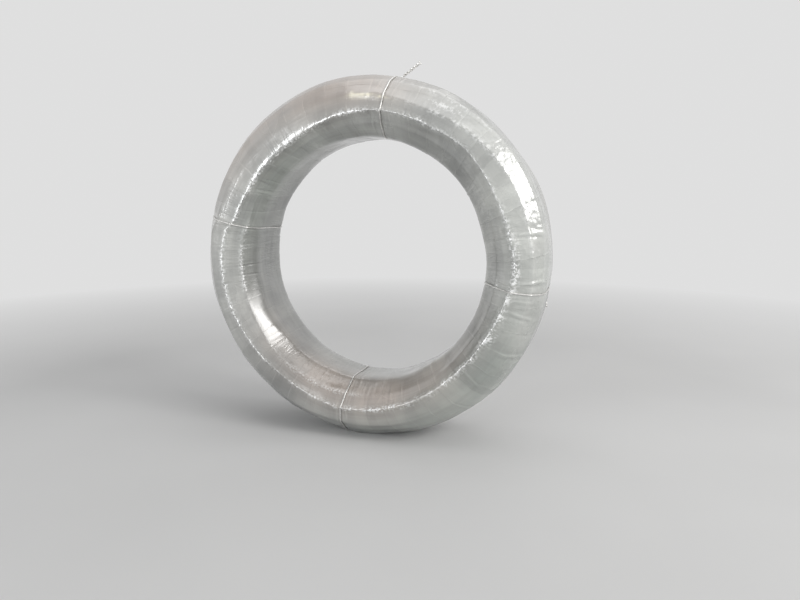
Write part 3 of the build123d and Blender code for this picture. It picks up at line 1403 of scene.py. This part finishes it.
@dataclass
class FilmWrap:
    """Wrap of stretch film round the whole section, a shell with the bundle of wire inside.

    Attributes:
        surface: Outer surface of the film.
        coarse_steps: Steps of its spin.
        wall: Least thickness of the shell.
        lining_steps: Steps round the ring of the inside wall.
        lining_stride: Stations of the outside for each of the inside wall.
    """

    surface: RingSurface
    coarse_steps: int = 100
    wall: float = 1.2 * MM
    lining_steps: int = 60
    lining_stride: int = 4

    def build(self) -> bpy.types.Object:
        """Spin the section round the axis, lay the film's relief on it and line it.

        Returns:
            The wrap.
        """
        surface = self.surface
        ring = SpunRing(surface.sections[0], self.coarse_steps, surface.turns // self.coarse_steps - 1)
        mesh, steps, stations = ring.laid("wrap_skin", surface.places(surface.heights))
        self._mark(mesh, steps, stations)
        self._map_laps(mesh, steps, stations)
        self._add_lining(mesh)
        return linked("wrap_skin", mesh)

    def _mark(self, mesh: bpy.types.Mesh, steps: np.ndarray, stations: np.ndarray) -> None:
        """Write the point attributes that the finish reads.

        Args:
            mesh: The wrap's outside.
            steps: Step round the ring of each vertex.
            stations: Station of each vertex.
        """
        around = np.radians(self.surface.angles)[steps]
        across = 2.0 * pi * self.surface.shares[stations]
        lay = np.stack([np.cos(around), np.sin(around), np.cos(across)], axis=1)
        layer = mesh.attributes.new(Patch.LAY.value, "FLOAT_VECTOR", "POINT")
        layer.data.foreach_set("vector", lay.astype(np.float32).ravel())
        for patch, values in self.surface.marks().items():
            layer = mesh.attributes.new(patch.value, "FLOAT", "POINT")
            layer.data.foreach_set("value", values[steps, stations].astype(np.float32))

    def _map_laps(self, mesh: bpy.types.Mesh, steps: np.ndarray, stations: np.ndarray) -> None:
        """Map each face corner to laps round the ring and share of the section, with no torn face.

        Args:
            mesh: The wrap's outside.
            steps: Step round the ring of each vertex.
            stations: Station of each vertex.
        """
        loops = np.empty(len(mesh.loops), np.int32)
        mesh.loops.foreach_get("vertex_index", loops)
        pair = []
        for values in (steps[loops] / self.surface.turns, self.surface.shares[stations[loops]]):
            faces = values.reshape(-1, 4)
            torn = (faces.max(axis=1) - faces.min(axis=1) > 0.5)[:, None]
            pair.append(np.where(torn & (faces < 0.5), faces + 1.0, faces).ravel())
        layout = np.stack([pair[0] * self.surface.laps, pair[1]], axis=1)
        mesh.uv_layers.new(name="FilmLaps").data.foreach_set("uv", layout.astype(np.float32).ravel())

    def _add_lining(self, mesh: bpy.types.Mesh) -> None:
        """Add the wrap's inside wall, which faces the bundle of wire.

        Args:
            mesh: The wrap's outside, which gets the wall.
        """
        surface = self.surface
        columns = np.arange(self.lining_steps) * (surface.turns // self.lining_steps)
        rows = np.arange(0, len(surface.stations), self.lining_stride)
        places = surface.places(surface.lowest() - self.wall)[np.ix_(columns, rows)]
        ring = SpunRing(surface.sections[0][rows], self.lining_steps, 0)
        lining, _, _ = ring.laid("wrap_lining", places, inwards=True)
        whole = bmesh.new()
        whole.from_mesh(mesh)
        whole.from_mesh(lining)
        whole.to_mesh(mesh)
        whole.free()
        bpy.data.meshes.remove(lining)

    def dress(self, piece: bpy.types.Object, finish: StretchFilmFinish) -> None:
        """Give the wrap its film finish and put it in place of its solid."""
        set_up(piece, finish.material(), Slot.FILM, "film_wrap")


@dataclass
class TieWire:
    """One tie wire: a loop pulled into the film, closed by its two ends twisted together.

    Attributes:
        name: Which tie it is.
        spec: Its place.
        surface: Outer surface of the film.
        radius: Radius of the wire.
        sunk: How far the wire is sunk into the film.
        wander: How far the loop wanders sideways.
        neck_rise: Rise of the strands off the loop, before their bend.
        foot_depth: Depth at which the strands start.
        strand_gap: Gap between the two strands, halved.
        twist_length: Length of the twist.
        twist_pitch: Length of one turn of the twist.
        steps_per_turn: Points on one turn of the twist.
        splay: How far apart the tips of the strands stand.
        splay_start: Share of the twist's length after which they splay.
        seam: Distance under which the drawn wire's vertices are merged.
    """

    name: str
    spec: TieSpec
    surface: RingSurface
    radius: float = 1.75 * MM
    sunk: float = 0.35 * MM
    wander: float = 1.1 * MM
    neck_rise: float = 0.5 * MM
    foot_depth: float = 0.75 * MM
    strand_gap: float = 0.06 * MM
    bend_radius: float = 6.0 * MM
    bend_steps: int = 5
    twist_length: float = 52.0 * MM
    twist_pitch: float = 18.0 * MM
    steps_per_turn: int = 14
    splay: float = 2.6 * MM
    splay_start: float = 0.86
    seam: float = 0.005 * MM

    def _loop(self) -> list[Vector]:
        """Middle of the loop, lying in the film's groove and wandering a little sideways.

        Returns:
            Its points round the section.
        """
        surface, angle = self.surface, self.spec.angle
        column = round(angle / 360.0 * surface.turns) % surface.turns
        seat = surface.heights[column] + (self.radius - self.sunk)
        seat = np.maximum(seat, (np.roll(seat, 1) + np.roll(seat, -1)) / 2.0)
        flat = surface.raised(seat, column)
        way = 2.0 * pi * surface.shares
        slide = self.wander * (np.sin(2.0 * way + angle) + 0.5 * np.sin(5.0 * way))
        return [Vector(point) for point in turned_out(flat, radians(angle) + slide / flat[:, 0])]

    def _twist_frame(self) -> tuple[Vector, Vector, Vector, Vector]:
        """Place and directions of the twist.

        Returns:
            Its foot, and the ways off the film, round the ring clockwise and along the tie.
        """
        first, last = PLAIN_CORNERS[self.spec.corner:self.spec.corner + 2]
        turned = radians(self.spec.angle)
        spoke = Vector((cos(turned), 0.0, sin(turned)))
        axis = Vector((0.0, 1.0, 0.0))
        foot = (spoke * (first[0] + last[0]) + axis * (first[1] + last[1])) / 2.0
        along = (spoke * (last[0] - first[0]) + axis * (last[1] - first[1])).normalized()
        clockwise = Vector((sin(turned), 0.0, -cos(turned)))
        off = clockwise.cross(along)
        if off.dot(spoke) < 0.0:
            off = -off
        return foot, off, clockwise, along

    def _strand(self, side: float) -> list[Vector]:
        """Middle of one strand: off the loop, over the bend, round its twin and splayed at the tip.

        Args:
            side: 1 or -1, for the one strand or the other.

        Returns:
            Its points.
        """
        foot, off, clockwise, along = self._twist_frame()
        lean = radians(self.spec.lean)
        apart = self.radius + self.strand_gap
        points = [foot - off * self.foot_depth + along * side * apart]
        for step in range(self.bend_steps + 1):
            turned = lean * step / self.bend_steps
            rise = self.neck_rise + self.bend_radius * sin(turned)
            run = self.bend_radius * (1.0 - cos(turned))
            points.append(foot + off * rise + clockwise * run + along * side * apart)
        base = points[-1] - along * side * apart
        onwards = off * cos(lean) + clockwise * sin(lean)
        sideways = clockwise * cos(lean) - off * sin(lean)
        steps = round(self.twist_length / self.twist_pitch * self.steps_per_turn)
        for step in range(1, steps + 1):
            turned = 2.0 * pi * step / self.steps_per_turn
            near_tip = max(0.0, (step / steps - self.splay_start) / (1.0 - self.splay_start))
            spoke = along * cos(turned) + sideways * sin(turned)
            spread = spoke * (side * (apart + self.splay * 0.5 * near_tip**2))
            points.append(base + onwards * (self.twist_length * step / steps) + spread)
        return points

    def build(self) -> bpy.types.Object:
        """Draw the loop and the two strands as round wire.

        Returns:
            The tie.
        """
        line = bpy.data.curves.new(f"tie_{self.name}", "CURVE")
        line.dimensions = "3D"
        line.bevel_depth = self.radius
        line.bevel_resolution = 3
        line.use_fill_caps = True
        for points, closed in ((self._loop(), True), (self._strand(1.0), False), (self._strand(-1.0), False)):
            spline = line.splines.new("POLY")
            spline.points.add(len(points) - 1)
            for spot, point in zip(spline.points, points):
                spot.co = (*point, 1.0)
            spline.use_cyclic_u = closed
        drawn = linked("tie_line", line)
        mesh = bpy.data.meshes.new_from_object(drawn)
        bpy.data.objects.remove(drawn)
        wire = bmesh.new()
        wire.from_mesh(mesh)
        bmesh.ops.remove_doubles(wire, verts=wire.verts, dist=self.seam)
        bmesh.ops.recalc_face_normals(wire, faces=wire.faces)
        wire.to_mesh(mesh)
        wire.free()
        mesh.polygons.foreach_set("use_smooth", np.ones(len(mesh.polygons), bool))
        return linked(f"tie_{self.name}", mesh)

    def dress(self, piece: bpy.types.Object, material: bpy.types.Material) -> None:
        """Give the tie its steel and put it in place of its solid."""
        set_up(piece, material, Slot.TIE, f"tie_wire_{self.name}")


@dataclass
class WireBundle:
    """Bundle of spring wire inside the film, its outer turns drawn as one long helix.

    Attributes:
        surface: Surface of the film over it.
        wires: Turns that lie side by side round the section.
        points_per_wire: Points across each turn, from one valley to the next.
        clearance: Room between the film's inside wall and the highest turns.
        dip: Depth of the valley between two turns.
        sharpness: How narrow the valleys are.
    """

    surface: RingSurface
    wires: int = 80
    points_per_wire: int = 4
    coarse_steps: int = 100
    cuts: int = 1
    clearance: float = 2.0 * MM
    dip: float = 2.6 * MM
    sharpness: float = 1.6

    def build(self) -> bpy.types.Object:
        """Spin the bundle and press the valleys between its turns into it.

        Returns:
            The bundle.
        """
        surface = self.surface
        steps = self.coarse_steps * (self.cuts + 1)
        columns = np.arange(steps) * (surface.turns // steps)
        sections = surface.raised(surface.lowest()[columns] - self.clearance, columns)
        sections = np.concatenate([sections, sections[:, :1]], axis=1)
        known = np.append(surface.shares, 1.0)
        count = self.wires * self.points_per_wire
        shares = np.arange(count) / count
        outlines = np.array([
            [np.interp(shares, known, values) for values in section.T] for section in sections
        ]).transpose(0, 2, 1)
        around = np.arange(steps)[:, None] / steps
        valley = np.abs(np.cos(pi * (self.wires * shares + around))) ** self.sharpness
        flat = outlines - outward(outlines) * (self.dip * valley)[..., None]
        ring = SpunRing(outlines[0], self.coarse_steps, self.cuts)
        mesh, _, _ = ring.laid("wire_bundle", turned_out(flat, 2.0 * pi * around))
        return linked("wire_bundle", mesh)

    def dress(self, piece: bpy.types.Object, finish: SpringWireFinish) -> None:
        """Give the bundle its drawn steel and put it in place of its solid."""
        set_up(piece, finish.material(), Slot.WIRE, "wire_coil")


@dataclass(frozen=True)
class Lamp:
    """Soft rectangular lamp that shines at the middle of the ring.

    Attributes:
        name: Name of the lamp.
        towards: Direction from the ring to the lamp.
        size: Width and height of the lamp.
        level: Brightness that it gives a white sheet held square to it at the ring.
        tint: Colour of the light.
        distance: Distance from the ring.
    """

    name: str
    towards: tuple[float, float, float]
    size: Pair
    level: float
    tint: tuple[float, float, float] = (1.0, 1.0, 1.0)
    distance: float = 5.5

    def build(self) -> None:
        """Hang the lamp and turn it to the ring."""
        light = bpy.data.lights.new(self.name, "AREA")
        light.shape = "RECTANGLE"
        light.size, light.size_y = self.size
        light.energy = self.level * pi * pi * self.distance**2
        light.color = self.tint
        lamp = linked(self.name, light)
        way = Vector(self.towards).normalized()
        lamp.location = way * self.distance
        lamp.rotation_euler = way.to_track_quat("Z", "Y").to_euler()


@dataclass
class Studio:
    """Plain pale floor, soft lamps, even surroundings and the camera of the photograph.

    Attributes:
        floor_level: Height of the floor.
        floor_reach: Half the width of the floor.
        floor_pale: Darkest and lightest tone of the floor.
        floor_fade: Distances from the ring between which the floor fades into the backdrop.
        backdrop: Tone of the backdrop, also in reflections.
        fill: Tone of the surroundings that light the ring.
        lens: Focal length of the camera in millimetres, for a sensor of sensor_width.
    """

    floor_level: float = -0.450
    floor_reach: float = 30.0
    floor_pale: Pair = (0.64, 0.68)
    floor_fade: Pair = (1.3, 3.2)
    backdrop: float = 0.74
    fill: float = 0.29
    camera_place: tuple[float, float, float] = (0.5874, -1.5646, 0.1652)
    camera_forward: tuple[float, float, float] = (-0.3089, 0.9374, -0.1610)
    lens: float = 29.25
    sensor_width: float = 36.0
    lamps: tuple[Lamp, ...] = table(
        Lamp,
        ("window_right", (0.84, -0.20, 0.49), (3.8, 2.7), 0.48, (1.0, 0.99, 0.97)),
        ("glint_right", (0.83, -0.20, 0.52), (0.9, 0.6), 0.08),
        ("window_front", (-0.50, -0.86, 0.10), (2.4, 1.8), 0.40, (0.97, 0.99, 1.0)),
        ("skylight", (0.10, 0.10, 1.0), (6.0, 6.0), 0.33),
    )

    def build(self) -> None:
        """Set up the floor, the light and the camera."""
        self._floor()
        self._world()
        for lamp in self.lamps:
            lamp.build()
        self._camera()

    def _floor(self) -> None:
        """Flat floor that fades into the backdrop far away."""
        slab = bmesh.new()
        bmesh.ops.create_grid(slab, x_segments=1, y_segments=1, size=self.floor_reach)
        bmesh.ops.translate(slab, verts=slab.verts, vec=(0.0, 0.0, self.floor_level))
        mesh = bpy.data.meshes.new("studio_floor")
        slab.to_mesh(mesh)
        slab.free()
        sheet = NodeSheet(bpy.data.materials.new("studio_floor_pale"))
        place = sheet.place()
        far = sheet.add("VectorMath", {0: place}, operation="LENGTH").outputs["Value"]
        low, high = (rgba(tone, tone, tone) for tone in self.floor_pale)
        pale = sheet.mix(sheet.span(sheet.noise(place, 1.3, 3.0, 0.5), MIDDLE), low, high)
        matte = sheet.add("BsdfPrincipled", {"Base Color": pale, "Roughness": 0.7})
        glow = sheet.add("Emission", {"Color": rgba(*[self.backdrop] * 3), "Strength": 1.0})
        fade = sheet.span(far, self.floor_fade)
        mesh.materials.append(sheet.finish("MixShader", {0: fade, 1: matte.outputs[0], 2: glow.outputs[0]}))
        linked("studio_floor", mesh)

    def _world(self) -> None:
        """Even surroundings: a pale backdrop to look at and in reflections, a calmer fill on the ring."""
        world = bpy.data.worlds.new("studio_surroundings")
        sheet = NodeSheet(world)
        path = sheet.add("LightPath").outputs
        seen = path["Is Camera Ray"]
        for name in ("Is Glossy Ray", "Is Transmission Ray"):
            either = sheet.add("Math", {0: seen, 1: path[name]}, operation="ADD", use_clamp=True)
            seen = either.outputs[0]
        fill, backdrop = (
            sheet.add("Background", {"Color": rgba(tone, tone, tone), "Strength": 1.0}).outputs[0]
            for tone in (self.fill, self.backdrop)
        )
        choice = sheet.add("MixShader", {0: seen, 1: fill, 2: backdrop})
        sheet.add("OutputWorld", {"Surface": choice.outputs[0]})
        bpy.context.scene.world = world

    def _camera(self) -> None:
        """Camera at the photograph's place, with its lens and no roll."""
        lens = bpy.data.cameras.new("photo_camera")
        lens.lens = self.lens
        lens.sensor_width = self.sensor_width
        camera = linked("photo_camera", lens)
        forward = Vector(self.camera_forward).normalized()
        sideways = forward.cross(Vector((0.0, 0.0, 1.0))).normalized()
        upwards = sideways.cross(forward)
        turned = Matrix((sideways, upwards, -forward)).transposed().to_4x4()
        camera.matrix_world = Matrix.Translation(self.camera_place) @ turned
        bpy.context.scene.camera = camera
        bpy.context.scene.view_settings.view_transform = "Standard"


def main() -> None:
    """Build the coil's pieces in order, then the studio."""
    surface = RingSurface()
    wrap = FilmWrap(surface)
    wrap.dress(wrap.build(), StretchFilmFinish())
    tie_steel = TieSteelFinish().material()
    for name, spec in TIES.items():
        tie = TieWire(name, spec, surface)
        tie.dress(tie.build(), tie_steel)
    bundle = WireBundle(surface)
    bundle.dress(bundle.build(), SpringWireFinish())
    Studio().build()


if __name__ == "__main__":
    main()
